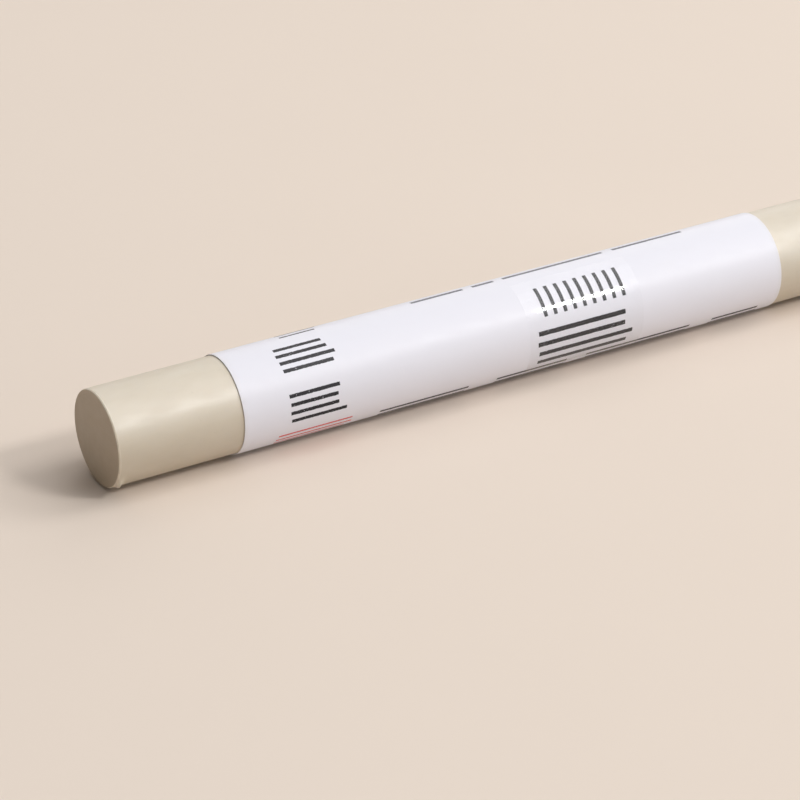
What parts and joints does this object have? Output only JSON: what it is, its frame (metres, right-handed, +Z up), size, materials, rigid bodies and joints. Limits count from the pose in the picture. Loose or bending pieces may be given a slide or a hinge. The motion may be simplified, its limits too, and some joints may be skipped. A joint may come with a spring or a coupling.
{
  "type": "furniture repair wax stick",
  "caption": "Round stick of beige filler wax in a wrapped white paper label with a small clear tag, lying on its side; both ends are bare wax.",
  "frame": {"origin": "under the middle of the stick, on the surface that it lies on", "axes": "+X along the stick to its far end, +Z up, -Y to the side that the clear tag faces"},
  "size_m": [0.1, 0.0115, 0.0112],
  "materials": {
    "wax": "satin",
    "label_paper": "satin",
    "adhesive": "gloss",
    "clear_film": "gloss"
  },
  "bodies": {
    "root": {"wax_stick": "wax", "label_adhesive": "adhesive", "paper_label": "label_paper", "tag_adhesive": "adhesive", "clear_tag": "clear_film"}
  },
  "joints": []
}
